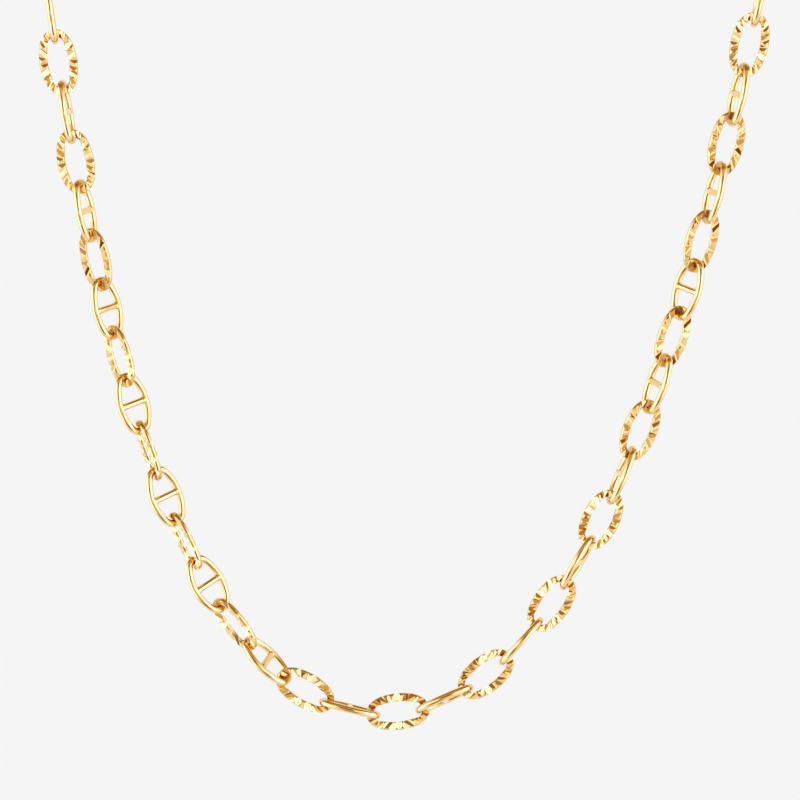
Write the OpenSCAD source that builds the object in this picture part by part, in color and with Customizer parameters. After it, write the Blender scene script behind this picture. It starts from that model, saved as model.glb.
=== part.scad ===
// Chain necklace: smooth anchor links, each with a cross bar, alternate with
// diamond-cut links of the same size. The front hangs as a chain does under its
// own weight, in one plane that leans back at the top. From there the chain
// turns round the back of the neck to a plain clasp.
// The origin is the middle of the nape, where the necklace hangs on its wearer.
// X runs to the right as seen from the front, Y to the back and Z up.

/* [Links] */
// Outer length of each link
link_l = 10.25; // [10.1:0.05:10.4]
// Outer width of each link
link_w = 5.95; // [5.8:0.05:6.2]
// Thickness of the round wire
wire_d = 1.1; // [1.06:0.02:1.14]
// Radius of the wire's centre line round the ends of a link
end_r = 1.75; // [1.6:0.05:1.8]
// Play between two links that pull on each other
play = 0.2; // [0.18:0.01:0.22]
// Thickness of the cross bar in an anchor link
bar_d = 1.05; // [0.85:0.05:1.05]

/* [Diamond cuts] */
// Width of a cut link's band along its sides
band_w = 1.35; // [1.2:0.05:1.4]
// Number of cuts along each side of a face
side_cuts = 6; // [5:1:7]
// Depth of a cut below the ridges beside it
cut_depth = 0.2; // [0.1:0.02:0.24]
// Depth of a cut's nick in the edge of the band
nick_depth = 0.05; // [0:0.01:0.08]

/* [Drape] */
// Place of the lowest point, counted in links from the first link in front
low_place = 16.6; // [16.4:0.1:16.8]
// Growth of the chain's slope from one link to the next
slope_step = 0.358; // [0.35:0.002:0.366]
// Lean of the front, back at the top, in degrees
front_lean = 25; // [20:1:27]

/* [Closing] */
// Outer diameter of the small ring at the left end of the chain
jump_d = 4.6; // [4.4:0.1:4.8]
// Wire of the small ring
jump_wire = 0.8; // [0.7:0.05:0.85]
// Outer diameter of the ring at the right end of the chain
end_ring_d = 5.6; // [5.4:0.1:5.8]
// Wire of the ring at the right end
end_ring_wire = 0.9; // [0.8:0.05:1]
// Outer width of the clasp
clasp_w = 6; // [5.8:0.1:6.4]
// Thickness of the clasp's rounded bar
clasp_wire = 1.4; // [1.3:0.05:1.5]
// Radius of the clasp's centre line round its ends
clasp_tip = 1.8; // [1.6:0.05:2]
// Outer diameter of the eye on the clasp
eye_d = 3; // [2.9:0.05:3.1]
// Wire of the eye
eye_wire = 0.8; // [0.7:0.05:0.8]

/* [Hidden] */
$fn = 48;
gold = [0.87, 0.68, 0.36];

// Links in front are numbered 0 to 34, from the upper left to the upper right.
// Lower and higher numbers run on round the neck. Even ones are anchor links.
front_last = 34;
left_first = -11;
right_last = 44;

// How the chain leaves the front plane for the nape, in degrees
FROM_LOW = 0; // links from the lowest point
STEEP = 1;    // turn from straight across: 90 climbs, 180 runs back inward
LEAN = 2;     // tilt of the chain's plane, back at the top
neck_turn = [
    // from_low, steep, lean
    [18, 81, front_lean],
    [19, 92, 31],
    [20, 103, 38],
    [21, 114, 45],
    [22, 125, 52],
    [24, 146, 67],
    [26, 163, 76],
    [28, 177, 78],
];

// How far the links are turned about their own length, in degrees. At 0 a cut
// link shows its whole face to the front. Anchor links stand square to this.
LINK = 0; // number of the link
TWIST = 1;
twists = [
    // link, twist
    [-11, 4],
    [0, -6],
    [2, 4],
    [3, 8],
    [4, 18],
    [5, 36],
    [8, 52],
    [9, 68],
    [10, 56],
    [11, 62],
    [12, 58],
    [13, 47],
    [15, 6],
    [16, -9],
    [17, -10],
    [18, -20],
    [20, -10],
    [21, -9],
    [22, -18],
    [23, -7],
    [25, 17],
    [28, 40],
    [29, 30],
    [30, 17],
    [31, 20],
    [32, 14],
    [33, -3],
    [34, -2],
    [44, 90],
];

// Reach of one link from contact to contact
pitch = link_l - 2 * wire_d - play;
half_l = (link_l - wire_d) / 2;

function is_anchor(i) = i % 2 == 0;
function two_digits(k) = k < 10 ? str("0", k) : str(k);
function link_name(i) = is_anchor(i)
    ? str("anchor_link_", two_digits(i / 2 + 1))
    : str("cut_link_", two_digits((i + 1) / 2));

// The chain's run

function column(table, from, to) = [for (row = table) [row[from], row[to]]];
turn_front = neck_turn[0][FROM_LOW];

// Angle of link i in the chain's plane: a free chain's slope grows evenly
function steep(i) = let (n = abs(i - low_place))
    sign(i - low_place) * (n <= turn_front ? atan(n * slope_step)
        : lookup(n, column(neck_turn, FROM_LOW, STEEP)));
function lean(i) = lookup(abs(i - low_place), column(neck_turn, FROM_LOW, LEAN));
function twist(i) = lookup(i, column(twists, LINK, TWIST)) + (is_anchor(i) ? 90 : 0);

// Unit vectors of link i: along it, off its plane to the front, and outward
function along(i) = [cos(steep(i)), sin(steep(i)) * sin(lean(i)), sin(steep(i)) * cos(lean(i))];
function frontward(i) = [0, -cos(lean(i)), sin(lean(i))];
function outward(i) = [sin(steep(i)), -cos(steep(i)) * sin(lean(i)), -cos(steep(i)) * cos(lean(i))];

// Points where each link meets the next, with the nape moved to the origin
run = [for (i = left_first, at = [0, 0, 0]; i <= right_last + 1;
    at = at + pitch * along(i), i = i + 1) at];
nape = (run[0] + run[len(run) - 1]) / 2;
function meeting(i) = run[i - left_first] - nape;
left_end = meeting(left_first);
right_end = meeting(right_last + 1);

// Puts children drawn along X with their face up at a point, turned to two axes
module stand_at(point, x_axis, face) {
    y_axis = cross(face, x_axis);
    multmatrix([
        [x_axis.x, y_axis.x, face.x, point.x],
        [x_axis.y, y_axis.y, face.y, point.y],
        [x_axis.z, y_axis.z, face.z, point.z],
        [0, 0, 0, 1],
    ]) children();
}

module chain_link(i) {
    face = cos(twist(i)) * frontward(i) + sin(twist(i)) * outward(i);
    stand_at((meeting(i) + meeting(i + 1)) / 2, along(i), face)
        if (is_anchor(i)) anchor_link(); else cut_link();
}

// An oval's centre line is two end arcs and two side arcs that run into each other.
// half is its half length, wide its half width and tip the radius of its end arcs.
// The wire of the side arcs is slightly thinner and runs a little way into the end
// arcs, so that the four arcs are one solid.
side_thinner = 0.01;
side_run_in = 1; // degrees
function side_r(half, wide, tip) = (pow(half - tip, 2) + wide * wide - tip * tip) / (2 * (wide - tip));
function join_angle(half, wide, tip) = atan2(side_r(half, wide, tip) - wide, half - tip);

module wire_arc(radius, start, sweep, wire) {
    rotate([0, 0, start])
        rotate_extrude(angle = sweep)
            translate([radius, 0]) circle(d = wire);
}

module oval_ring(length, width, tip, wire) {
    half = (length - wire) / 2;
    wide = (width - wire) / 2;
    big = side_r(half, wide, tip);
    join = join_angle(half, wide, tip);
    for (turn = [0, 180]) rotate([0, 0, turn]) {
        translate([half - tip, 0, 0]) wire_arc(tip, -join, 2 * join, wire);
        translate([0, wide - big, 0])
            wire_arc(big, join - side_run_in, 180 - 2 * (join - side_run_in), wire - side_thinner);
    }
}

// Anchor link: an oval of round wire with a bar soldered across its middle
module anchor_link() {
    color(gold) union() {
        oval_ring(link_l, link_w, end_r, wire_d);
        rotate([90, 0, 0]) cylinder(d = bar_d, h = link_w - wire_d, center = true);
    }
}

// Cut link: six-sided sections stand round the oval, low in the cuts and high on
// the ridges between them. The two ends stay plain wire.
band_wide = (link_w - band_w) / 2;
band_r = side_r(half_l, band_wide, end_r);
band_join = join_angle(half_l, band_wide, end_r);
end_steps = 4;
side_steps = 2 * side_cuts;
plain_h = wire_d * sin(60); // height of a six-sided wire that stands on a flat

// A station round the oval: its centre, the way outward, half width, half height
AT = 0;
OUT = 1;
HALF_W = 2;
HALF_H = 3;
function toward(angle) = [cos(angle), sin(angle), 0];
function end_station(k) = let (out = toward(band_join * (2 * k / end_steps - 1)))
    [[half_l - end_r, 0, 0] + end_r * out, out, wire_d / 2, plain_h / 2];
function side_station(k) = let (
        out = toward(band_join + (180 - 2 * band_join) * k / side_steps),
        swell = sqrt(sin(180 * k / side_steps)),
        in_cut = k % 2 == 1,
        high = (plain_h + (wire_d - plain_h) * swell) / 2
    ) [
        [0, band_wide - band_r, 0] + band_r * out,
        out,
        (wire_d + (band_w - wire_d) * swell) / 2 - (in_cut ? nick_depth : 0),
        in_cut ? high - cut_depth : high,
    ];
half_round = concat([for (k = [1:end_steps - 1]) end_station(k)],
    [for (k = [0:side_steps]) side_station(k)]);
stations = concat(half_round, [for (s = half_round) [-s[AT], -s[OUT], s[HALF_W], s[HALF_H]]]);

// The corners of a section, as shares of its half width and half height
corners = [[1, 0], [0.5, 1], [-0.5, 1], [-1, 0], [-0.5, -1], [0.5, -1]];

module cut_link() {
    sides = len(corners);
    rounds = len(stations);
    points = [for (s = stations, c = corners)
        s[AT] + c[0] * s[HALF_W] * s[OUT] + [0, 0, c[1] * s[HALF_H]]];
    function corner(k, c) = (k % rounds) * sides + c % sides;
    faces = [for (k = [0:rounds - 1], c = [0:sides - 1], half = [0, 1])
        (k % 2 == 0)
            ? (half == 0 ? [corner(k, c), corner(k, c + 1), corner(k + 1, c + 1)]
                : [corner(k, c), corner(k + 1, c + 1), corner(k + 1, c)])
            : (half == 0 ? [corner(k, c), corner(k, c + 1), corner(k + 1, c)]
                : [corner(k, c + 1), corner(k + 1, c + 1), corner(k + 1, c)])];
    color(gold) polyhedron(points, faces);
}

// The chain behind the front, on each side
module back_chain_left() {
    for (i = [left_first:-1]) chain_link(i);
}

module back_chain_right() {
    for (i = [front_last + 1:right_last]) chain_link(i);
}

// The closing at the nape: ring, clasp and ring, in line between the two ends
closing = right_end - left_end;
closing_axis = closing / norm(closing);
flat_face = frontward(right_last + 1);
closing_face = flat_face - (flat_face * closing_axis) * closing_axis;
closing_up = closing_face / norm(closing_face);
closing_side = cross(closing_up, closing_axis);
jump_reach = jump_d - 2 * jump_wire - play;
end_ring_reach = end_ring_d - 2 * end_ring_wire - play;
clasp_reach = norm(closing) - jump_reach - end_ring_reach;

module round_ring(outer_d, wire) {
    color(gold) rotate_extrude() translate([(outer_d - wire) / 2, 0]) circle(d = wire);
}

module jump_ring() {
    stand_at(left_end + closing_axis * jump_reach / 2, closing_axis, closing_side)
        round_ring(jump_d, jump_wire);
}

module end_ring() {
    stand_at(right_end - closing_axis * end_ring_reach / 2, closing_axis, closing_side)
        round_ring(end_ring_d, end_ring_wire);
}

// Clasp: a plain closed oval with an eye on a short neck at its left end
neck_l = 0.2;
neck_d = 0.7;
module clasp() {
    eye_x = eye_d / 2 - eye_wire - play / 2;
    neck_left = eye_x + (eye_d - eye_wire) / 2;
    body_left = eye_x + eye_d / 2 + neck_l;
    body_right = clasp_reach + play / 2 + clasp_wire;
    stand_at(left_end + closing_axis * jump_reach, closing_axis, closing_up)
        color(gold) union() {
            translate([eye_x, 0, 0]) round_ring(eye_d, eye_wire);
            translate([neck_left, 0, 0])
                rotate([0, 90, 0]) cylinder(d = neck_d, h = body_left + clasp_wire / 2 - neck_left);
            translate([(body_left + body_right) / 2, 0, 0])
                oval_ring(body_right - body_left, clasp_w, clasp_tip, clasp_wire);
        }
}

for (i = [0:front_last]) {
    chain_link(i);
}
back_chain_left();
back_chain_right();
jump_ring();
clasp();
end_ring();
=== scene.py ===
# %% [markdown]
# This lesson builds the looks of a chain necklace. Two kinds of oval link take
# turns along it: a smooth anchor link with a small bar soldered across its
# middle, and a diamond-cut link, whose two faces carry rows of V-shaped cuts
# that flash in the light. At the back of the neck a small ring, a plain clasp
# and a larger ring close the loop.
#
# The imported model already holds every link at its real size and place. It is
# loaded first, and nothing in it is moved. Each new piece below takes the place
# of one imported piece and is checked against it.

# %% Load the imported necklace
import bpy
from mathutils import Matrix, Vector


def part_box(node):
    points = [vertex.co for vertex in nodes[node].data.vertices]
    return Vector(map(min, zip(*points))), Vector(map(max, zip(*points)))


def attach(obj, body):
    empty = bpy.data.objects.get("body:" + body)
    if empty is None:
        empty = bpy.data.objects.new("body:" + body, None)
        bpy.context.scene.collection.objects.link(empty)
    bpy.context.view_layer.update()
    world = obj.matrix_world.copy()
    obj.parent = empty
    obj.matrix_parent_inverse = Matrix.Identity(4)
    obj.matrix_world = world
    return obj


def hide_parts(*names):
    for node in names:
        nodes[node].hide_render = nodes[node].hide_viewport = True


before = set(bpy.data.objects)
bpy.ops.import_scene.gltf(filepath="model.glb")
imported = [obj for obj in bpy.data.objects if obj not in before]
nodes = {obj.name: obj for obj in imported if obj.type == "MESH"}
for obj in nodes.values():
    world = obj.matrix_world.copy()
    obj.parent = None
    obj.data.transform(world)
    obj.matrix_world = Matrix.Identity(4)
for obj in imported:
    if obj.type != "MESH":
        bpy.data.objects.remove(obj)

# %% Tools of the trade
import math
import random

import bpy
import numpy as np
from mathutils import Matrix, Vector

MM = 0.001  # Blender works in metres here, and a jeweller in millimetres


def in_mm(lengths, digits=2):
    """Lengths as rounded millimetres, for the prints."""
    return [round(length / MM, digits) for length in lengths]


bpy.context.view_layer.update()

# %% [markdown]
# Operators act on all that is selected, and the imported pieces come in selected.
# So every step starts from an empty selection. A finished piece keeps its object
# at the origin and its place in its mesh, which apply_place sees to. A copy is
# always given a mesh of its own.


# %% Start clean, apply places
MERGE = 0.001 * MM  # vertices nearer than this are one


def select_none():
    if bpy.context.object and bpy.context.object.mode != "OBJECT":
        bpy.ops.object.mode_set(mode="OBJECT")
    bpy.ops.object.select_all(action="DESELECT")


def select_only(*pieces):
    select_none()
    for piece in pieces:
        piece.select_set(True)
    bpy.context.view_layer.objects.active = pieces[0]


def apply_place(piece):
    select_only(piece)
    bpy.ops.object.transform_apply(location=True, rotation=True, scale=True)


def own_copy(piece):
    """A copy with its own mesh."""
    copied = piece.copy()
    copied.data = piece.data.copy()
    bpy.context.collection.objects.link(copied)
    return copied


def edit_all():
    bpy.ops.object.mode_set(mode="EDIT")
    bpy.ops.mesh.select_all(action="SELECT")


def select_faces(piece, wanted):
    """Enters edit mode with just the faces selected that the test wants."""
    select_only(piece)
    bpy.ops.object.mode_set(mode="EDIT")
    bpy.ops.mesh.select_mode(type="FACE")
    bpy.ops.mesh.select_all(action="DESELECT")
    bpy.ops.object.mode_set(mode="OBJECT")
    for face in piece.data.polygons:
        face.select = wanted(face)
    bpy.ops.object.mode_set(mode="EDIT")


def close_and_turn_out(piece):
    """Merges the doubles that a full turn leaves, and points every face outward."""
    select_only(piece)
    edit_all()
    bpy.ops.mesh.remove_doubles(threshold=MERGE)
    bpy.ops.mesh.select_all(action="SELECT")
    bpy.ops.mesh.normals_make_consistent(inside=False)
    bpy.ops.object.mode_set(mode="OBJECT")


select_none()
print("pieces selected now:", len(bpy.context.selected_objects))

# %% [markdown]
# Where does each packed link lie, and which way is it turned? The frame doesn't
# say it in words, but the mesh does. The spread of a link's surface is largest
# along it, smaller across it and least through its thickness, so the three axes
# of that spread are the link's own axes. Each triangle counts by its area, so
# that it doesn't matter where the mesh is fine or coarse.


# %% Find a link's own axes
def own_axes(points, triangles):
    """A 4x4 matrix from the piece's own frame (along, across, through), and its size in it."""
    corners = points[triangles]
    one_side = corners[:, 1] - corners[:, 0]
    other_side = corners[:, 2] - corners[:, 0]
    area = np.linalg.norm(np.cross(one_side, other_side), axis=1) / 2
    middle = corners.mean(axis=1)
    centre = (area[:, None] * middle).sum(axis=0) / area.sum()
    # each corner of a flat triangle counts for a twelfth of its area, and its middle for the rest
    spread = np.zeros((3, 3))
    for k in range(3):
        arm = corners[:, k] - centre
        spread += (area[:, None, None] * arm[:, :, None] * arm[:, None, :]).sum(axis=0) / 12
    arm = middle - centre
    spread += (area[:, None, None] * arm[:, :, None] * arm[:, None, :]).sum(axis=0) * 9 / 12
    along, across = np.linalg.eigh(spread)[1].T[[2, 1]]
    through = np.cross(along, across)
    own = (points - centre) @ np.array([along, across, through]).T
    place = Matrix.Identity(4)
    for k, axis in enumerate((along, across, through)):
        place.col[k].xyz = axis
    place.translation = centre
    return place, Vector(own.max(axis=0) - own.min(axis=0))


def mesh_arrays(mesh):
    mesh.calc_loop_triangles()
    points = np.empty(len(mesh.vertices) * 3)
    mesh.vertices.foreach_get("co", points)
    triangles = np.empty(len(mesh.loop_triangles) * 3, int)
    mesh.loop_triangles.foreach_get("vertices", triangles)
    return points.reshape(-1, 3), triangles.reshape(-1, 3)


anchor_names = sorted(name for name in nodes if name.startswith("anchor_link"))
cut_names = sorted(name for name in nodes if name.startswith("cut_link"))
places = {name: own_axes(*mesh_arrays(nodes[name].data)) for name in anchor_names + cut_names}
link_l, link_w, wire_d = places[cut_names[0]][1]  # flat-sided, so its size is exact
print("a cut link in mm:", in_mm((link_l, link_w, wire_d), 3))
print("an anchor link in mm:", in_mm(places[anchor_names[0]][1], 3))

# %% [markdown]
# The outline of each link is an oval of four arcs, two round the ends and two
# along the sides, that run into each other without a corner. A jeweller winds
# the wire round a mandrel of that shape. In Blender the Spin tool does the same:
# a ring of edges stands across the path and is spun round the centre of one arc
# after another. A curve with a round bevel would be quicker, but its sections
# can't change from round to broad, as the cut link needs.

# %% The oval path
END_R = 1.75 * MM  # radius of the path round the ends


def side_arc(half_l, half_w, tip):
    """Radius of the long side arcs, and the angle at which they meet the end arcs."""
    radius = ((half_l - tip) ** 2 + half_w**2 - tip**2) / (2 * (half_w - tip))
    return radius, math.atan2(radius - half_w, half_l - tip)


def ring_across(centre, radius, angle, half_out, half_up, sides):
    """A ring of edges across the path, at an angle on an arc round a centre."""
    select_none()
    place = Vector(centre) + Vector((math.cos(angle), math.sin(angle), 0)) * radius
    bpy.ops.mesh.primitive_circle_add(
        vertices=sides, radius=half_up, location=place, rotation=(math.pi / 2, 0, angle)
    )
    ring = bpy.context.object
    ring.scale.x = half_out / half_up
    apply_place(ring)
    edit_all()
    return ring


def spin_on(centre, sweep, steps):
    """Spins the selected ring on, anticlockwise seen from above."""
    bpy.ops.mesh.spin(steps=steps, angle=-sweep, center=centre, axis=(0, 0, 1))


wire_arc_r, wire_join = side_arc((link_l - wire_d) / 2, (link_w - wire_d) / 2, END_R)
print("side arcs of the wire in mm:", in_mm([wire_arc_r]),
      "joined at", round(math.degrees(wire_join)), "degrees")

# %% [markdown]
# The anchor link is round wire all the way, so one ring is spun through all four
# arcs and the last ring meets the first. Twenty-four sides are enough for
# smooth highlights.

# %% Model the anchor link's wire
WIRE_SIDES = 24
END_STEPS = 22
SIDE_STEPS = 16


def wind_oval(length, width, wire, tip):
    """An oval of round wire, by its outer length and width. tip is the path's radius at the ends."""
    half_l, half_w = (length - wire) / 2, (width - wire) / 2
    side_radius, join = side_arc(half_l, half_w, tip)
    end_centre, side_centre = half_l - tip, side_radius - half_w
    oval = ring_across((end_centre, 0, 0), tip, -join, wire / 2, wire / 2, WIRE_SIDES)
    for sign in (1, -1):
        bpy.ops.object.mode_set(mode="EDIT")
        spin_on((sign * end_centre, 0, 0), 2 * join, END_STEPS)
        spin_on((0, -sign * side_centre, 0), math.pi - 2 * join, SIDE_STEPS)
    close_and_turn_out(oval)
    return oval


anchor = wind_oval(link_l, link_w, wire_d, END_R)
anchor.name = "anchor_master"
print("wire of the anchor link:", len(anchor.data.polygons), "faces")

# %% [markdown]
# The bar is a length of thinner wire that is laid across and soldered at both
# ends. The solder runs into the corner and leaves a small collar. A plain
# cylinder would miss that, so the bar grows from a disc by Extrude and Scale:
# wide in the collar, then drawn in to the bar's own thickness, and out again.
# A Boolean union makes one piece of bar and wire, as the solder does.

# %% Model the bar and solder it in
BAR_D = 1.05 * MM
COLLAR_D = 1.2 * MM
BAR_SIDES = 24
inner = link_w / 2 - wire_d  # where the bar meets the inside of the wire
bar_rings = [  # place along the bar, thickness there
    (-inner - wire_d / 2, COLLAR_D * 0.8),
    (-inner + 0.02 * MM, COLLAR_D),
    (-inner + 0.14 * MM, COLLAR_D * 0.97),
    (-inner + 0.22 * MM, BAR_D * 0.99),
    (-inner + 0.32 * MM, BAR_D),
]
bar_rings += [(-y, d) for y, d in reversed(bar_rings)]


def turned_bar(rings, axis, disc_turn):
    """Grows a bar along an axis from a disc. rings holds (place along the axis, thickness there)."""
    select_none()
    bpy.ops.mesh.primitive_circle_add(
        vertices=BAR_SIDES, radius=rings[0][1] / 2, fill_type="NGON",
        location=axis * rings[0][0], rotation=disc_turn,
    )
    piece = bpy.context.object
    apply_place(piece)
    edit_all()
    bpy.ops.mesh.select_mode(type="FACE")
    for (here, d_here), (there, d_there) in zip(rings, rings[1:]):
        growth = [1 if along else d_there / d_here for along in axis]
        bpy.ops.mesh.extrude_region_move(TRANSFORM_OT_translate={"value": tuple(axis * (there - here))})
        bpy.ops.transform.resize(value=growth, center_override=axis * there)
    bpy.ops.object.mode_set(mode="OBJECT")
    close_and_turn_out(piece)
    return piece


def boolean(piece, other, operation):
    """Applies a Boolean with another piece, which is then used up."""
    select_only(piece)
    tool = piece.modifiers.new("boolean", "BOOLEAN")
    tool.operation = operation
    tool.solver = "EXACT"
    tool.object = other
    bpy.ops.object.modifier_apply(modifier=tool.name)
    bpy.data.objects.remove(other)


bar = turned_bar(bar_rings, Vector((0, 1, 0)), (math.pi / 2, 0, 0))
boolean(anchor, bar, "UNION")
print("anchor link with its bar:", len(anchor.data.polygons), "faces")

# %% [markdown]
# The cut link starts as the same kind of oval, but its wire is pressed broader
# along the sides. So the end arcs are spun from a round ring and the side arcs
# from a broad one, each stopping short, and Bridge Edge Loops draws the tapers
# between them.

# %% Model the cut link's band
BAND_W = 1.35 * MM  # width of the band along the sides
BAND_SIDES = 36
SIDE_GAP = math.radians(9)  # the side arcs stop this far from the join
END_GAP = math.radians(10)
BAND_END_STEPS = 14
BAND_SIDE_STEPS = 16
TAPER_CUTS = 5

band_l = (link_l - wire_d) / 2
band_y = (link_w - BAND_W) / 2
band_r, band_join = side_arc(band_l, band_y, END_R)
tip_x = band_l - END_R
side_y = band_r - band_y


def band_stretch(centre, radius, start, sweep, half_out, steps):
    piece = ring_across(centre, radius, start, half_out, wire_d / 2, BAND_SIDES)
    spin_on(centre, sweep, steps)
    bpy.ops.object.mode_set(mode="OBJECT")
    return piece


end_sweep = 2 * (band_join - END_GAP)
side_start = band_join + SIDE_GAP
side_sweep = math.pi - 2 * side_start
stretches = []
for turn, sign in ((0, 1), (math.pi, -1)):
    stretches.append(band_stretch(
        (sign * tip_x, 0, 0), END_R, turn - band_join + END_GAP, end_sweep, wire_d / 2, BAND_END_STEPS))
    stretches.append(band_stretch(
        (0, -sign * side_y, 0), band_r, turn + side_start, side_sweep, BAND_W / 2, BAND_SIDE_STEPS))
select_only(*stretches)
bpy.ops.object.join()
cut = bpy.context.object
cut.name = "cut_master"
print("four stretches of the band:", len(cut.data.polygons), "faces")


# %% Bridge the tapers
def select_rim(mesh, near):
    """Selects the open edges of the two rings nearest to a point. Works in object mode."""
    count = {}
    for face in mesh.polygons:
        for key in face.edge_keys:
            count[key] = count.get(key, 0) + 1
    for edge in mesh.edges:
        middle = (mesh.vertices[edge.vertices[0]].co + mesh.vertices[edge.vertices[1]].co) / 2
        edge.select = count[edge.key] == 1 and (middle - near).length < END_R
    for vertex in mesh.vertices:
        vertex.select = False
    for face in mesh.polygons:
        face.select = False


join_out = Vector((math.cos(band_join), math.sin(band_join), 0)) * END_R
for x_sign in (1, -1):
    for y_sign in (1, -1):
        corner = Vector((x_sign * (tip_x + join_out.x), y_sign * join_out.y, 0))
        select_only(cut)
        bpy.ops.object.mode_set(mode="EDIT")
        bpy.ops.mesh.select_mode(type="EDGE")
        bpy.ops.mesh.select_all(action="DESELECT")
        bpy.ops.object.mode_set(mode="OBJECT")
        select_rim(cut.data, corner)
        bpy.ops.object.mode_set(mode="EDIT")
        bpy.ops.mesh.bridge_edge_loops(number_cuts=TAPER_CUTS, interpolation="SURFACE", smoothness=1)
        bpy.ops.object.mode_set(mode="OBJECT")
close_and_turn_out(cut)
print("closed band:", len(cut.data.polygons), "faces, size in mm:", in_mm(cut.dimensions, 3))

# %% [markdown]
# Every link is closed with a drop of solder, which runs into the inside of the
# bend. There the wire is a little fuller, and the next link hangs snugly against
# it. Only the vertices on the inside of the two end arcs move, the more the
# nearer they are to the tip, so no step is left.

# %% Fill the inside of the end bends
SOLDER = 0.09 * MM


def bend_position(point):
    """How far inside an end bend a point lies (-1 to 1), and how near the bend's tip (1 at it)."""
    arm = Vector((abs(point.x) - tip_x, point.y))
    return (END_R - arm.length) / (wire_d / 2), arm.x / arm.length


def fill_end_bends(piece):
    moved = 0
    for vertex in piece.data.vertices:
        inward, near_tip = bend_position(vertex.co)
        if inward > 0 and near_tip > 0:
            vertex.co.x -= math.copysign(SOLDER * inward * near_tip, vertex.co.x)
            moved += 1
    return moved


print("vertices moved:", fill_end_bends(anchor), fill_end_bends(cut))

# %% [markdown]
# Now the diamond cuts. A spinning diamond is dipped into each face, and every
# dip leaves a V-shaped groove with two flat walls and a narrow flat floor. On
# round metal each wall comes out as half a lens: as wide as the band at the
# floor of the groove, and a point where it runs out on the crest. A Boolean
# difference with a row of wedges gives the sharpest facets. A bump texture would
# only fake them and leave the outline smooth. One wedge is a cube whose top is
# widened in edit mode.

# %% Model one wedge
WALL_SLOPE = math.radians(32)
FLOOR_W = 0.05 * MM
WEDGE_L = 2.4 * MM
WEDGE_H = 0.45 * MM

select_none()
bpy.ops.mesh.primitive_cube_add(size=1, location=(0, 0, WEDGE_H / 2))
wedge = bpy.context.object
wedge.scale = (WEDGE_L, FLOOR_W, WEDGE_H)
apply_place(wedge)
select_faces(wedge, lambda face: face.normal.z > 0.9)  # the top face alone
wedge_top_w = FLOOR_W + 2 * WEDGE_H / math.tan(WALL_SLOPE)
bpy.ops.transform.resize(value=(1, wedge_top_w / FLOOR_W, 1))
bpy.ops.object.mode_set(mode="OBJECT")
print("wedge in mm:", in_mm(wedge.dimensions))

# %% [markdown]
# The cuts point at the middle of the link, and they lean in turn to the outer
# and to the inner edge of the band, which makes the zig-zag. Neighbouring wedges
# would run into each other above the metal, and wedges from both faces beside
# it, which spoils a Boolean. So each face is cut by itself, in a few rounds. No
# two real links are cut alike: the tool lands a little early or late, a little
# turned and a little deeper. So three variants are cut with small seeded
# differences and dealt out along the chain. The band is shaded smooth first and
# the wedges aren't, which later tells the walls of the cuts from the band.


# %% Cut both faces
SIDE_CUTS = 7  # along each side of a face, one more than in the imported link
END_CUT_ANGLES = [math.radians(a) for a in (-50, -24, 24, 50)]  # of the cuts on each end, off the tip
CUT_DEPTH = 0.33 * MM
CUT_SHIFT = 0.06 * MM
CUT_TURN = math.radians(7)
CUT_DEPTH_SPREAD = 0.02 * MM
LEAST_LEAN = math.radians(7)  # towards the outer edge for one cut, the inner edge for the next
MOST_LEAN = math.radians(18)
VARIANTS = 3
ROUNDS = 4  # every fourth cut is made at a time


def arc_point(centre_x, centre_y, radius, angle):
    return Vector((centre_x + radius * math.cos(angle), centre_y + radius * math.sin(angle), 0))


def cut_spots():
    """Where cuts are made, once round the band's path."""
    spots = []
    for turn in (0, math.pi):
        half_turn = Matrix.Rotation(turn, 3, "Z")
        for angle in END_CUT_ANGLES:
            spots.append(half_turn @ arc_point(tip_x, 0, END_R, angle))
        for k in range(SIDE_CUTS):
            angle = band_join + (math.pi - 2 * band_join) * (k + 0.5) / SIDE_CUTS
            spots.append(half_turn @ arc_point(0, -side_y, band_r, angle))
    return spots


def wedge_at(spot, lean, chance, side):
    """A wedge over one spot of the upper face (side 0) or of the lower face (side 1)."""
    toward = math.atan2(spot.y, spot.x)
    shift = Vector((-math.sin(toward), math.cos(toward), 0)) * chance.uniform(-CUT_SHIFT, CUT_SHIFT)
    depth = CUT_DEPTH + chance.uniform(-CUT_DEPTH_SPREAD, CUT_DEPTH_SPREAD)
    turn = toward + chance.uniform(-CUT_TURN, CUT_TURN)
    piece = own_copy(wedge)
    piece.data.transform(
        Matrix.Translation(spot + shift)
        @ Matrix.Rotation(turn, 4, "Z")
        @ Matrix.Rotation(side * math.pi, 4, "X")
        @ Matrix.Rotation(lean, 4, "Y")
        @ Matrix.Translation((0, 0, wire_d / 2 - depth))
    )
    return piece


def cut_link_variant(seed):
    chance = random.Random(seed)
    link = own_copy(cut)
    wedges = []
    for k, spot in enumerate(cut_spots()):
        lean = chance.uniform(LEAST_LEAN, MOST_LEAN) * (1 if k % 2 else -1)
        wedges.append([wedge_at(spot, lean, chance, side) for side in (0, 1)])
    for side in (0, 1):
        for first in range(ROUNDS):
            select_only(*[pair[side] for pair in wedges[first::ROUNDS]])
            bpy.ops.object.join()
            boolean(link, bpy.context.object, "DIFFERENCE")
    return link


select_only(cut)
bpy.ops.object.shade_smooth()
cut_variants = [cut_link_variant(seed) for seed in range(VARIANTS)]
print("cut link:", [len(link.data.polygons) for link in cut_variants], "faces")

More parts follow.
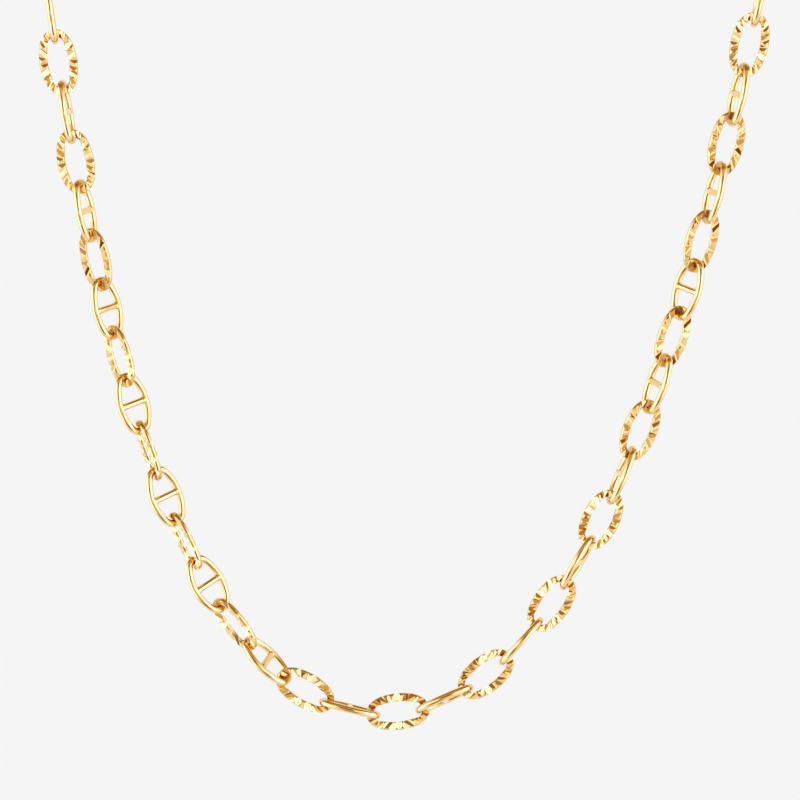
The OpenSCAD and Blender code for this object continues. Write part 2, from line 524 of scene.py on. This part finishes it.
# %% [markdown]
# The metal is yellow gold over brass, polished until it mirrors the room. Gold
# tints all that it mirrors, so the base colour is the tint of a mirror and there
# is no paint to texture, apart from the painted shade below. What tells real
# polished metal from a perfect mirror is fine: the polish is a little uneven, the
# tone drifts from yellow to warmer, and the buffing leaves a very shallow ripple.
# Inside the end bends, where the links hang in each other, shade is painted in as
# a deeper tone. All three finishes below need these effects, so they are one node
# group, "polished skin", with its own values in each material.

# %% A node group for the polished skin
BEND_SHADE_MARK = "painted_bend_shade"  # painted shade from 0 to 1 on each vertex, written further below
NOISE_LOW, NOISE_HIGH = 0.3, 0.7  # a Noise Texture seldom leaves this range
MIX_FIRST, MIX_SECOND, MIX_RESULT = 6, 7, 2  # a Mix node's colour sockets, which share their names


def add_node(tree, kind, **settings):
    node = tree.nodes.new(kind)
    for name, value in settings.items():
        setattr(node, name, value)
    return node


def polished_skin_group():
    group = bpy.data.node_groups.new("polished skin", "ShaderNodeTree")
    sockets = [
        ("INPUT", "NodeSocketColor", ("Yellow Tone", "Warm Tone", "Bend Shade Tone")),
        ("INPUT", "NodeSocketFloat", ("Tone Scale", "Grain Scale", "Low Roughness", "High Roughness")),
        ("OUTPUT", "NodeSocketColor", ("Colour",)),
        ("OUTPUT", "NodeSocketFloat", ("Roughness", "Height")),
    ]
    for way, kind, names in sockets:
        for name in names:
            group.interface.new_socket(name=name, in_out=way, socket_type=kind)
    given = add_node(group, "NodeGroupInput")
    made = add_node(group, "NodeGroupOutput")
    where = add_node(group, "ShaderNodeTexCoord")
    drift = add_node(group, "ShaderNodeTexNoise")
    drift.inputs["Detail"].default_value = 2
    grain = add_node(group, "ShaderNodeTexNoise")
    grain.inputs["Detail"].default_value = 3
    tone = add_node(group, "ShaderNodeMix", data_type="RGBA")
    # the bend mark is painted shade inside the end bends
    bend = add_node(group, "ShaderNodeAttribute", attribute_name=BEND_SHADE_MARK)
    bend_shade_mix = add_node(group, "ShaderNodeMix", data_type="RGBA")
    rough = add_node(group, "ShaderNodeMapRange")
    rough.inputs["From Min"].default_value = NOISE_LOW
    rough.inputs["From Max"].default_value = NOISE_HIGH
    connect = group.links.new
    connect(where.outputs["Object"], drift.inputs["Vector"])
    connect(where.outputs["Object"], grain.inputs["Vector"])
    connect(given.outputs["Tone Scale"], drift.inputs["Scale"])
    connect(given.outputs["Grain Scale"], grain.inputs["Scale"])
    connect(drift.outputs["Fac"], tone.inputs["Factor"])
    connect(given.outputs["Yellow Tone"], tone.inputs[MIX_FIRST])
    connect(given.outputs["Warm Tone"], tone.inputs[MIX_SECOND])
    connect(grain.outputs["Fac"], rough.inputs["Value"])
    connect(given.outputs["Low Roughness"], rough.inputs["To Min"])
    connect(given.outputs["High Roughness"], rough.inputs["To Max"])
    # painted shade: the bend mark mixes in the deeper shade tone
    connect(bend.outputs["Fac"], bend_shade_mix.inputs["Factor"])
    connect(tone.outputs[MIX_RESULT], bend_shade_mix.inputs[MIX_FIRST])
    connect(given.outputs["Bend Shade Tone"], bend_shade_mix.inputs[MIX_SECOND])
    connect(bend_shade_mix.outputs[MIX_RESULT], made.inputs["Colour"])
    connect(rough.outputs["Result"], made.inputs["Roughness"])
    connect(grain.outputs["Fac"], made.inputs["Height"])
    return group


polished_skin = polished_skin_group()
print("group:", polished_skin.name, [i.name for i in polished_skin.interface.items_tree])

# %% [markdown]
# Three finishes come from the group. Drawn wire is polished and very slightly
# rippled. A fresh diamond cut is the smoothest of all. The band between the cuts
# is never cut or buffed, so it is a satin gold, a little duller and rougher.

# %% Three finishes from it
POLISHED = ((0.91, 0.66, 0.27, 1), (0.90, 0.59, 0.20, 1))  # yellow tone, warm tone
SATIN = ((0.82, 0.57, 0.21, 1), (0.80, 0.51, 0.16, 1))
# painted shade inside the end bends, where the links meet
BEND_SHADE_TONE = (0.66, 0.31, 0.05, 1)
TONE_SCALE = 180  # patches in a metre, so the tone drifts over 5 to 6 mm
RIPPLE_STRENGTH = 0.5


def gold_material(name, tones, low, high, grain_scale, ripple):
    material = bpy.data.materials.new(name)
    material.use_nodes = True
    tree = material.node_tree
    shader = tree.nodes["Principled BSDF"]
    shader.inputs["Metallic"].default_value = 1
    skin = add_node(tree, "ShaderNodeGroup", node_tree=polished_skin)
    skin.inputs["Yellow Tone"].default_value, skin.inputs["Warm Tone"].default_value = tones
    # the deeper tone of the painted shade in the bends
    skin.inputs["Bend Shade Tone"].default_value = BEND_SHADE_TONE
    skin.inputs["Tone Scale"].default_value = TONE_SCALE
    skin.inputs["Grain Scale"].default_value = grain_scale
    skin.inputs["Low Roughness"].default_value = low
    skin.inputs["High Roughness"].default_value = high
    bump = add_node(tree, "ShaderNodeBump")
    bump.inputs["Distance"].default_value = ripple
    bump.inputs["Strength"].default_value = RIPPLE_STRENGTH
    tree.links.new(skin.outputs["Colour"], shader.inputs["Base Color"])
    tree.links.new(skin.outputs["Roughness"], shader.inputs["Roughness"])
    tree.links.new(skin.outputs["Height"], bump.inputs["Height"])
    tree.links.new(bump.outputs["Normal"], shader.inputs["Normal"])
    return material


drawn_gold = gold_material(
    "polished gold wire", POLISHED, low=0.02, high=0.06, grain_scale=1400, ripple=0.002 * MM)
cut_gold = gold_material(
    "diamond-cut gold facet", POLISHED, low=0.02, high=0.05, grain_scale=2600, ripple=0.001 * MM)
band_gold = gold_material(
    "satin gold band", SATIN, low=0.08, high=0.16, grain_scale=1800, ripple=0.003 * MM)
print("finishes:", [material.name for material in (drawn_gold, cut_gold, band_gold)])

# %% [markdown]
# The finishes go on the masters before they are copied. The faces of a cut link
# that are still flat are the walls and floors of the cuts. They get the brightest
# metal and stay flat, and all else is shaded smooth up to a sharp edge. The
# painted shade, a deeper tone, is strongest inside the tip of each bend, where the
# next link hangs, and fades outward and round it.

# %% Dress the masters
WIRE_SHARP = math.radians(32)  # edges sharper than this stay sharp
BAND_SHARP = math.radians(16)
SHADE_MIDDLE = 0.9  # painted shade on the middle line of the wire, at the tip
SHADE_RISE = 0.8  # what it gains to the inside and loses to the outside
SHADE_FADE = 3  # the higher, the faster it fades round the bend


def dress(piece, *materials, angle=WIRE_SHARP):
    piece.data.materials.clear()
    for material in materials:
        piece.data.materials.append(material)
    select_only(piece)
    bpy.ops.object.shade_smooth_by_angle(angle=angle)


def paint_bend_shade(piece):
    """Paints shade inside the end bends, as a mark on each vertex for the finish to read."""
    shade_marks = piece.data.attributes.new(BEND_SHADE_MARK, "FLOAT", "POINT")
    for vertex, mark in zip(piece.data.vertices, shade_marks.data):
        inward, near_tip = bend_position(vertex.co)
        depth = min(max(0, SHADE_MIDDLE + SHADE_RISE * inward), 1)
        mark.value = depth * max(0, near_tip) ** SHADE_FADE


dress(anchor, drawn_gold)
paint_bend_shade(anchor)
for link in cut_variants:
    paint_bend_shade(link)
    walls = [face.index for face in link.data.polygons if not face.use_smooth]
    dress(link, band_gold, cut_gold, angle=BAND_SHARP)
    for index in walls:
        link.data.polygons[index].material_index = 1
        link.data.polygons[index].use_smooth = False
    print(link.name, "bright cut faces:", len(walls), "of", len(link.data.polygons))

# %% [markdown]
# Each packed link now gives its place to a copy of a master. An oval link looks
# the same when it is turned end for end, so it doesn't matter which way the
# axes point. Every copy has a mesh of its own, and the print gives the largest
# distance between a copy's box and its packed link's box.


# %% Put the links in front in place
def copy_to(master, place, name):
    piece = own_copy(master)
    piece.name = piece.data.name = name
    piece.data.transform(place)
    return piece


def box_error(piece, node):
    low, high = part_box(node)
    points = mesh_arrays(piece.data)[0]
    return max(np.abs(points.min(axis=0) - low).max(), np.abs(points.max(axis=0) - high).max())


def stand_for(piece, node):
    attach(piece, "root")
    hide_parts(node)


worst = 0
for name in anchor_names:
    piece = copy_to(anchor, places[name][0], "polished_" + name)
    stand_for(piece, name)
    worst = max(worst, box_error(piece, name))
for k, name in enumerate(cut_names):
    piece = copy_to(cut_variants[k % VARIANTS], places[name][0], "bright_" + name)
    stand_for(piece, name)
    worst = max(worst, box_error(piece, name))
print("links in front:", len(anchor_names) + len(cut_names),
      "largest box error in mm:", in_mm([worst], 3))

# %% [markdown]
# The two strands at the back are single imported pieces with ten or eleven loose
# links each. A copy is taken apart with Separate by Loose Parts, each part gives
# its own axes, and it is thrown away again. On the real chain and in the packed
# strands the two kinds of link go on taking turns. Here every link at the back
# is made as a cut link. That is a fault of these looks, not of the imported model.


# %% Put the back strands in place
def loose_parts(node):
    """The place of each loose link in a packed strand."""
    shell = bpy.data.objects.new("strand", nodes[node].data.copy())
    bpy.context.collection.objects.link(shell)
    select_only(shell)
    edit_all()
    bpy.ops.mesh.remove_doubles(threshold=MERGE)
    bpy.ops.mesh.separate(type="LOOSE")
    bpy.ops.object.mode_set(mode="OBJECT")
    parts = list(bpy.context.selected_objects)
    found = []
    for part in parts:
        found.append(own_axes(*mesh_arrays(part.data))[0])
        bpy.data.objects.remove(part)
    return found


def build_strand(node):
    links = []
    for k, place in enumerate(loose_parts(node)):
        links.append(copy_to(cut_variants[k % VARIANTS], place, f"{node}_{k}"))
    select_only(*links)
    bpy.ops.object.join()
    strand = bpy.context.object
    strand.name = strand.data.name = "linked_" + node
    stand_for(strand, node)
    print(strand.name, len(links), "links,", len(strand.data.polygons), "faces,",
          "box error in mm:", in_mm([box_error(strand, node)], 3))


for node in ("back_chain_left", "back_chain_right"):
    build_strand(node)

# %% [markdown]
# A jump ring is one turn of wire whose ends butt together, so a real one shows a
# fine seam. It is spun from a ring of edges through almost a full circle, the
# two open ends are filled, and a Bevel softens their rims. The larger ring at
# the other end is soldered and polished over. It shows no seam, so it is spun
# through the whole circle.

# %% Model the two rings
RING_STEPS = 56
SEAM = 0.03 * MM
RIM_BEVEL = 0.03 * MM
RIM_ANGLE = math.radians(60)
FACET_LOSS = 0.03  # a packed round piece has facets and measures up to this many mm less


def jeweller_size(size):
    """The size that a packed round piece stands for, a multiple of 0.1 mm."""
    return round(size / MM + FACET_LOSS, 1) * MM


def ring_place(node):
    """A ring's place, with its seam (the x axis) on the side that faces up."""
    place, size = own_axes(*mesh_arrays(nodes[node].data))
    through = place.col[2].xyz
    up = Vector((0, 0, 1))
    along = (up - through * through.dot(up)).normalized()
    turned = Matrix.Identity(4)
    for k, axis in enumerate((along, through.cross(along), through)):
        turned.col[k].xyz = axis
    turned.translation = place.translation
    return turned, jeweller_size(size.x), jeweller_size(size.z)


def open_ring(outer_d, wire):
    path_r = (outer_d - wire) / 2
    half_gap = SEAM / 2 / path_r
    ring = ring_across((0, 0, 0), path_r, half_gap, wire / 2, wire / 2, WIRE_SIDES)
    spin_on((0, 0, 0), 2 * math.pi - 2 * half_gap, RING_STEPS)
    bpy.ops.mesh.select_all(action="SELECT")
    bpy.ops.mesh.select_mode(type="EDGE")
    bpy.ops.mesh.select_non_manifold()
    bpy.ops.mesh.fill_holes(sides=WIRE_SIDES)
    bpy.ops.object.mode_set(mode="OBJECT")
    close_and_turn_out(ring)
    rounding = ring.modifiers.new("rounded rims", "BEVEL")
    rounding.width = RIM_BEVEL
    rounding.segments = 2
    rounding.limit_method = "ANGLE"
    rounding.angle_limit = RIM_ANGLE
    select_only(ring)
    bpy.ops.object.modifier_apply(modifier=rounding.name)
    return ring


def soldered_ring(outer_d, wire):
    path_r = (outer_d - wire) / 2
    ring = ring_across((0, 0, 0), path_r, 0, wire / 2, wire / 2, WIRE_SIDES)
    spin_on((0, 0, 0), 2 * math.pi, RING_STEPS)
    close_and_turn_out(ring)
    return ring


def finish_ring(make, node, name):
    place, outer_d, wire = ring_place(node)
    master = make(outer_d, wire)
    dress(master, drawn_gold)
    piece = copy_to(master, place, name)
    bpy.data.objects.remove(master)
    stand_for(piece, node)
    print(name, "outside and wire in mm:", in_mm((outer_d, wire)),
          "box error in mm:", in_mm([box_error(piece, node)], 3))


finish_ring(open_ring, "jump_ring", "butted_jump_ring")
finish_ring(soldered_ring, "end_ring", "soldered_end_ring")

# %% [markdown]
# The clasp can't be seen from the front, so it is kept plain: a closed oval of
# thicker bar with a small eye on a neck. It is wound and spun like the links. The
# neck grows from a disc by Extrude and Scale, narrow in the middle and flared at
# both ends, where it is soldered on.

# %% Model the clasp
CLASP_TIP = 1.8 * MM
EYE_D = 3.0 * MM
EYE_WIRE = 0.8 * MM
NECK_L = 0.2 * MM
NECK_D = 0.7 * MM


def clasp_place():
    """The clasp's place with x pointing from its eye to its far end, and its ends along x."""
    place, size = own_axes(*mesh_arrays(nodes["clasp"].data))
    low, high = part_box("jump_ring")
    if (((low + high) / 2) - place.translation).dot(place.col[0].xyz) > 0:
        place = place @ Matrix.Rotation(math.pi, 4, "Z")
    own = mesh_arrays(nodes["clasp"].data)[0] - np.array(place.translation)
    along = own @ np.array(place.col[0].xyz)
    return place, along.min(), along.max(), jeweller_size(size.y), jeweller_size(size.z)


place, eye_end, far_end, clasp_w, clasp_wire = clasp_place()
body_start = eye_end + EYE_D + NECK_L
clasp = wind_oval(far_end - body_start, clasp_w, clasp_wire, CLASP_TIP)
clasp.data.transform(Matrix.Translation(((far_end + body_start) / 2, 0, 0)))
eye = soldered_ring(EYE_D, EYE_WIRE)
eye.data.transform(Matrix.Translation((eye_end + EYE_D / 2, 0, 0)))
neck_x = eye_end + EYE_D - EYE_WIRE / 2
neck = turned_bar([  # place along the neck, thickness there
    (neck_x, NECK_D * 0.8),
    (neck_x + EYE_WIRE * 0.42, NECK_D * 1.1),
    (body_start - NECK_L / 2, NECK_D * 0.92),
    (body_start + NECK_L / 2, NECK_D * 1.25),
    (body_start + clasp_wire / 2, NECK_D),
], Vector((1, 0, 0)), (0, math.pi / 2, 0))
boolean(clasp, neck, "UNION")
boolean(clasp, eye, "UNION")
dress(clasp, drawn_gold)
piece = copy_to(clasp, place, "plain_clasp")
stand_for(piece, "clasp")
print("clasp in mm:", in_mm([far_end - eye_end]),
      "box error in mm:", in_mm([box_error(piece, "clasp")], 3))

# %% [markdown]
# The masters were only there to be copied. They still lie at the origin, where
# they would show in the picture and count as pieces, so they are removed.

# %% The masters have done their work
for master in [anchor, cut, wedge, clasp, *cut_variants]:
    bpy.data.objects.remove(master)

# %% [markdown]
# The camera looks down on the chain from the front, as a shopper does at a
# display, with a long lens from half a metre away. The angles and the lens were
# settled by setting the links' middles against the photograph's. The camera is
# rolled a little, because the photograph is.

# %% Place the camera
CAMERA_DOWN = math.radians(33.84)
CAMERA_ROLL = math.radians(1.9)
CAMERA_AWAY = 0.5
CAMERA_AIM = Vector((0.99, -60, -99.37)) * MM
LENS = 140.2  # focal length in mm
SENSOR_W = 36
NEAREST = 0.01  # nothing nearer than this is drawn

camera_data = bpy.data.cameras.new("camera")
camera_data.sensor_width = SENSOR_W
camera_data.lens = LENS
camera_data.clip_start = NEAREST
camera = bpy.data.objects.new("camera", camera_data)
bpy.context.collection.objects.link(camera)
camera_turn = Matrix.Rotation(math.pi / 2 - CAMERA_DOWN, 4, "X") @ Matrix.Rotation(CAMERA_ROLL, 4, "Z")
toward_camera = Vector((0, -math.cos(CAMERA_DOWN), math.sin(CAMERA_DOWN)))
camera.matrix_world = Matrix.Translation(CAMERA_AIM + CAMERA_AWAY * toward_camera) @ camera_turn
bpy.context.scene.camera = camera
print("camera at", [round(c, 3) for c in camera.location])

# %% [markdown]
# Polished gold shows nothing but its surroundings, so the studio matters more
# than any texture. It is built in the world shader as a photographer builds a
# light tent: a pale tent all round, a softbox on each side, the light edge of the
# table, and the dim room in front. Dark cards and the camera on its stand draw
# the dark lines that make metal look like metal. Each of them is a soft-edged
# rectangle on the sky. Area lights would do for the boxes but can't take light
# away, which the dark cards must.


# %% A node group for one studio card
def studio_card_group():
    group = bpy.data.node_groups.new("studio card", "ShaderNodeTree")
    for name in ("Direction", "Facing", "Right", "Up"):
        group.interface.new_socket(name=name, in_out="INPUT", socket_type="NodeSocketVector")
    for name in ("Half Width", "Half Height", "Softness"):
        group.interface.new_socket(name=name, in_out="INPUT", socket_type="NodeSocketFloat")
    group.interface.new_socket(name="Mask", in_out="OUTPUT", socket_type="NodeSocketFloat")
    given = add_node(group, "NodeGroupInput")
    made = add_node(group, "NodeGroupOutput")
    connect = group.links.new

    def dot(axis):
        node = add_node(group, "ShaderNodeVectorMath", operation="DOT_PRODUCT")
        connect(given.outputs["Direction"], node.inputs[0])
        connect(given.outputs[axis], node.inputs[1])
        return node.outputs["Value"]

    def calculate(operation, first, second):
        node = add_node(group, "ShaderNodeMath", operation=operation)
        for socket, value in zip(node.inputs, (first, second)):
            if isinstance(value, (int, float)):
                socket.default_value = value
            else:
                connect(value, socket)
        return node.outputs[0]

    def inside(axis, half):
        """1 inside the card's half size along one axis, 0 outside, soft between."""
        angle = calculate("ABSOLUTE", calculate("ARCTAN2", dot(axis), dot("Facing")), 0)
        past = calculate("SUBTRACT", angle, given.outputs[half])
        node = add_node(group, "ShaderNodeMapRange", interpolation_type="SMOOTHSTEP")
        connect(past, node.inputs["Value"])
        connect(calculate("MULTIPLY", given.outputs["Softness"], -1), node.inputs["From Min"])
        connect(given.outputs["Softness"], node.inputs["From Max"])
        node.inputs["To Min"].default_value = 1
        node.inputs["To Max"].default_value = 0
        return node.outputs["Result"]

    mask = calculate("MULTIPLY", inside("Right", "Half Width"), inside("Up", "Half Height"))
    connect(mask, made.inputs["Mask"])
    return group


studio_card = studio_card_group()
print("group:", studio_card.name)

# %% [markdown]
# The cards are placed as seen from the necklace, in degrees: to the right of the
# camera, above it, and the width and height they cover. Later cards lie over
# earlier ones.

# %% Set up the studio
TENT = (0.95, 1.0, 1.19)
CARDS = [
    # name, right, above, width, height, softness, colour
    ("room in front", -13, 38, 147, 148, 8, (0.72, 0.54, 0.28)),
    ("dark above", 0, 78, 100, 52, 10, (0.34, 0.19, 0.06)),
    ("left softbox", -75, -8, 57, 75, 10, (1.7, 2.0, 3.2)),
    ("right softbox", 61, -5, 50, 70, 12, (1.8, 2.2, 3.7)),
    ("light table edge", -9, 3, 81, 30, 7, (1.4, 1.7, 2.4)),
    ("dark below", -5, -49, 30, 24, 4, (0.17, 0.09, 0.02)),
    ("camera and stand", -3, 8, 36, 36, 5, (0.22, 0.10, 0.02)),
]


def studio_direction(right, above):
    """A direction in the scene from degrees to the right of the camera and above it."""
    across, up = math.radians(right), math.radians(above)
    level = Vector((math.sin(across), 0, math.cos(across)))
    from_camera = math.cos(up) * level + Vector((0, math.sin(up), 0))
    return (camera_turn.to_3x3() @ from_camera).normalized()


def build_studio():
    world = bpy.data.worlds.new("studio")
    bpy.context.scene.world = world
    world.use_nodes = True
    tree = world.node_tree
    connect = tree.links.new
    shader = tree.nodes["Background"]
    where = add_node(tree, "ShaderNodeTexCoord")
    tent = add_node(tree, "ShaderNodeRGB")
    tent.outputs[0].default_value = (*TENT, 1)
    seen = tent.outputs[0]
    for name, right, above, width, height, softness, colour in CARDS:
        card = add_node(tree, "ShaderNodeGroup", node_tree=studio_card, label=name)
        facing = studio_direction(right, above)
        beside = studio_direction(right + 90, 0)
        card.inputs["Facing"].default_value = facing
        card.inputs["Right"].default_value = beside
        card.inputs["Up"].default_value = facing.cross(beside)
        card.inputs["Half Width"].default_value = math.radians(width / 2)
        card.inputs["Half Height"].default_value = math.radians(height / 2)
        card.inputs["Softness"].default_value = math.radians(softness)
        connect(where.outputs["Generated"], card.inputs["Direction"])
        over = add_node(tree, "ShaderNodeMix", data_type="RGBA")
        connect(card.outputs["Mask"], over.inputs["Factor"])
        connect(seen, over.inputs[MIX_FIRST])
        over.inputs[MIX_SECOND].default_value = (*colour, 1)
        seen = over.outputs[MIX_RESULT]
    return tree, shader, seen


tree, shader, studio_seen = build_studio()
print("in the tent:", [name for name, *_ in CARDS])

# %% [markdown]
# The floor and the backdrop should stay an even pale grey whatever the cards do.
# So the world answers three kinds of ray in three ways, by the Light Path node:
# the camera sees the backdrop's grey, matt surfaces get an even light, and
# only reflections see the tent and its cards.

# %% Backdrop, floor and even light
PALE = 0.913  # linear value of the photograph's plain ground
FLOOR_ALBEDO = 0.9
FLOOR_Z = -0.3  # metres below the nape
FLOOR_SIZE = 8

path = add_node(tree, "ShaderNodeLightPath")
even = add_node(tree, "ShaderNodeMix", data_type="RGBA")
even.inputs[MIX_FIRST].default_value = (*[PALE / FLOOR_ALBEDO] * 3, 1)
tree.links.new(path.outputs["Is Glossy Ray"], even.inputs["Factor"])
tree.links.new(studio_seen, even.inputs[MIX_SECOND])
backdrop = add_node(tree, "ShaderNodeMix", data_type="RGBA")
tree.links.new(path.outputs["Is Camera Ray"], backdrop.inputs["Factor"])
tree.links.new(even.outputs[MIX_RESULT], backdrop.inputs[MIX_FIRST])
backdrop.inputs[MIX_SECOND].default_value = (*[PALE] * 3, 1)
tree.links.new(backdrop.outputs[MIX_RESULT], shader.inputs["Color"])
bpy.context.scene.world.cycles.sampling_method = "NONE"

select_none()
bpy.ops.mesh.primitive_plane_add(size=FLOOR_SIZE, location=(0, 0, FLOOR_Z))
floor = bpy.context.object
floor.name = "floor"
floor.visible_glossy = False
floor_paint = bpy.data.materials.new("pale floor")
floor_paint.use_nodes = True
floor_shader = floor_paint.node_tree.nodes["Principled BSDF"]
floor_shader.inputs["Base Color"].default_value = (*[FLOOR_ALBEDO] * 3, 1)
floor_shader.inputs["Roughness"].default_value = 1
floor_shader.inputs["Specular IOR Level"].default_value = 0
floor.data.materials.append(floor_paint)
bpy.context.scene.view_settings.view_transform = "Standard"
print("floor", FLOOR_SIZE, "m wide at", FLOOR_Z, "m")
